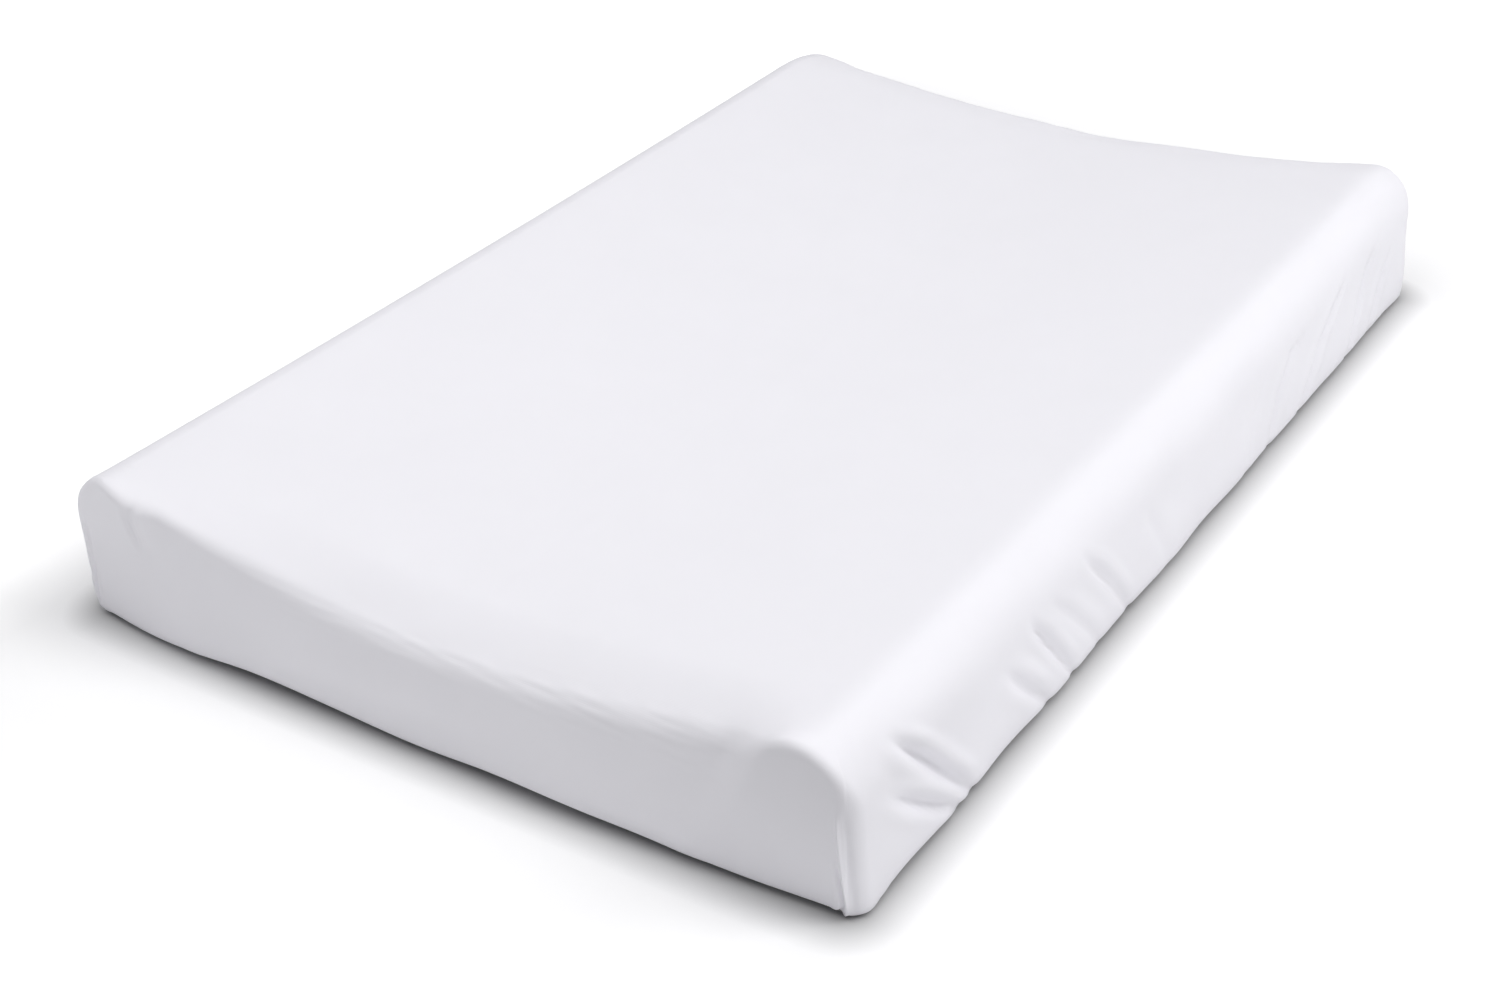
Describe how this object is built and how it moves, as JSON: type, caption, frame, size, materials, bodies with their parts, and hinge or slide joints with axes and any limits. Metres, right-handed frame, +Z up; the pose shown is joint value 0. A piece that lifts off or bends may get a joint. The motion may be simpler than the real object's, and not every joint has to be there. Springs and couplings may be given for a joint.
{
  "type": "memory foam mattress",
  "caption": "Low rectangular pad with a hollow top and raised long sides: layered foam in a zipped casing, under a fitted sheet with an elastic hem.",
  "frame": {"origin": "on the floor, under the middle of the pad", "axes": "+Y along the pad towards its rear end, +X across it to the right, +Z up"},
  "size_m": [0.5, 0.76, 0.0962],
  "materials": {
    "jersey": "matt stretch jersey, optic white",
    "binding": "matt gathered jersey binding, white",
    "elastic": "woven elastic, white",
    "label": "satin ribbon, blank",
    "casing_cloth": "plain woven cotton, off-white",
    "zip_tape": "woven polyester tape, off-white",
    "zip_nylon": "nylon monofilament",
    "zip_metal": "satin nickel plate",
    "firm_foam": "open-cell polyurethane foam, off-white",
    "memory_foam": "slow-recovery polyurethane foam, pale cream"
  },
  "bodies": {
    "pad": {"fitted_sheet": "jersey", "corner_seam_front_left": "jersey", "corner_seam_front_right": "jersey", "corner_seam_rear_left": "jersey", "corner_seam_rear_right": "jersey", "hem_binding": "binding", "hem_elastic": "elastic", "care_label": "label", "casing_top_panel": "casing_cloth", "casing_side_left": "casing_cloth", "casing_side_right": "casing_cloth", "casing_end_front": "casing_cloth", "casing_end_rear": "casing_cloth", "casing_base_left": "casing_cloth", "casing_base_right": "casing_cloth", "zip_tape_left": "zip_tape", "zip_tape_right": "zip_tape", "zip_coil_left": "zip_nylon", "zip_coil_right": "zip_nylon", "zip_stop_front_left": "zip_metal", "zip_stop_front_right": "zip_metal", "zip_stop_rear": "zip_metal", "foam_base": "firm_foam", "foam_wedge_left": "firm_foam", "foam_wedge_right": "firm_foam", "memory_foam_layer": "memory_foam"},
    "zip_slider": {"zip_slider": "zip_metal"},
    "zip_pull": {"zip_pull": "zip_metal"}
  },
  "joints": [
    {"name": "zip_slide", "type": "slide", "parent": "pad", "child": "zip_slider", "axis": [0, 1, 0], "range_m": [0, 0.51]},
    {"name": "zip_pull_swing", "type": "hinge", "parent": "zip_slider", "child": "zip_pull", "pos_m": [0, -0.258, 0.00135], "axis": [-1, 0, 0], "range_deg": [0, 180]}
  ]
}
